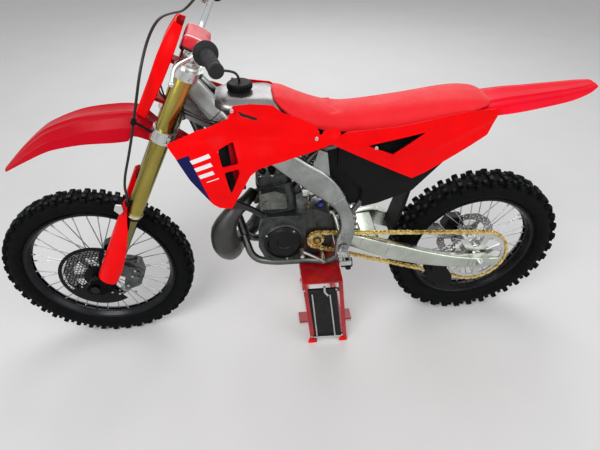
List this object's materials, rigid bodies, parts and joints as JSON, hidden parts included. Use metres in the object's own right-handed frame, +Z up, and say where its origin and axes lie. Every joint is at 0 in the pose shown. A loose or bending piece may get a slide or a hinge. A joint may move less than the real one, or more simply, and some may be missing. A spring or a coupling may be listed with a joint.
{
  "type": "dirt bike",
  "caption": "Full-size motocross motorcycle on a steel lift stand, with steering that turns and two free-turning spoked wheels.",
  "frame": {"origin": "on the ground, half way along and across the whole object", "axes": "+X towards the rear wheel, +Y to the rider's right, +Z up"},
  "size_m": [2.166, 0.8242, 1.3023],
  "materials": {
    "red_plastic": "gloss moulded plastic",
    "black_plastic": "matt moulded plastic",
    "frame_alloy": "satin",
    "tank_silver": "satin silver paint",
    "seat_cover": "grained seat cover",
    "tyre": "knobbed rubber",
    "black_alloy": "black anodised",
    "wire_steel": "bright wire",
    "gold_alloy": "gold anodised",
    "chrome_steel": "hard chrome",
    "engine_alloy": "cast, satin",
    "black_cover": "black paint",
    "pipe_steel": "dark heat-stained sheet",
    "bright_alloy": "machined",
    "chain_gold": "gold plated steel",
    "disc_steel": "ground",
    "stand_red": "gloss paint",
    "rubber_black": "soft rubber"
  },
  "bodies": {
    "chassis": {"frame_spars": "frame_alloy", "frame_cradle": "frame_alloy", "subframe": "frame_alloy", "fuel_tank": "tank_silver", "tank_cap": "black_plastic", "vent_hose": "rubber_black", "seat": "seat_cover", "shrouds": "red_plastic", "radiators": "bright_alloy", "side_panels": "red_plastic", "airbox": "black_plastic", "mud_flap": "black_plastic", "rear_fender": "red_plastic", "crankcase": "engine_alloy", "cylinder": "engine_alloy", "engine_covers": "black_cover", "carburettor": "engine_alloy", "expansion_chamber": "pipe_steel", "silencer": "bright_alloy", "front_sprocket": "disc_steel", "chain": "chain_gold", "chain_guides": "black_plastic", "swingarm": "frame_alloy", "rear_axle": "disc_steel", "rear_shock": "disc_steel", "footpegs": "disc_steel", "foot_levers": "bright_alloy", "rear_caliper": "black_cover", "stand_frame": "stand_red", "stand_panel": "black_cover"},
    "steering": {"lower_clamp": "bright_alloy", "upper_clamp": "bright_alloy", "fork_tubes": "gold_alloy", "fork_sliders": "chrome_steel", "fork_guards": "red_plastic", "front_fender": "red_plastic", "front_plate": "red_plastic", "handlebar": "bright_alloy", "bar_pad": "seat_cover", "grips": "rubber_black", "hand_levers": "black_cover", "front_caliper": "engine_alloy", "disc_guard": "black_plastic", "brake_hose": "rubber_black", "front_axle": "disc_steel"},
    "front_wheel": {"front_tyre": "tyre", "front_rim": "black_alloy", "front_spokes": "wire_steel", "front_hub": "black_alloy", "front_disc": "disc_steel"},
    "rear_wheel": {"rear_tyre": "tyre", "rear_rim": "black_alloy", "rear_spokes": "wire_steel", "rear_hub": "black_alloy", "rear_disc": "disc_steel", "rear_sprocket": "bright_alloy"}
  },
  "joints": [
    {"name": "steering_turn", "type": "hinge", "parent": "chassis", "child": "steering", "pos_m": [-0.68426, 0, 0.32203], "axis": [0.4555, 0, 0.8902], "range_deg": [-45, 45]},
    {"name": "front_wheel_spin", "type": "hinge", "parent": "steering", "child": "front_wheel", "pos_m": [-0.735, 0, 0.348], "axis": [0, 1, 0], "continuous": true},
    {"name": "rear_wheel_spin", "type": "hinge", "parent": "chassis", "child": "rear_wheel", "pos_m": [0.743, 0, 0.34], "axis": [0, 1, 0], "continuous": true}
  ]
}
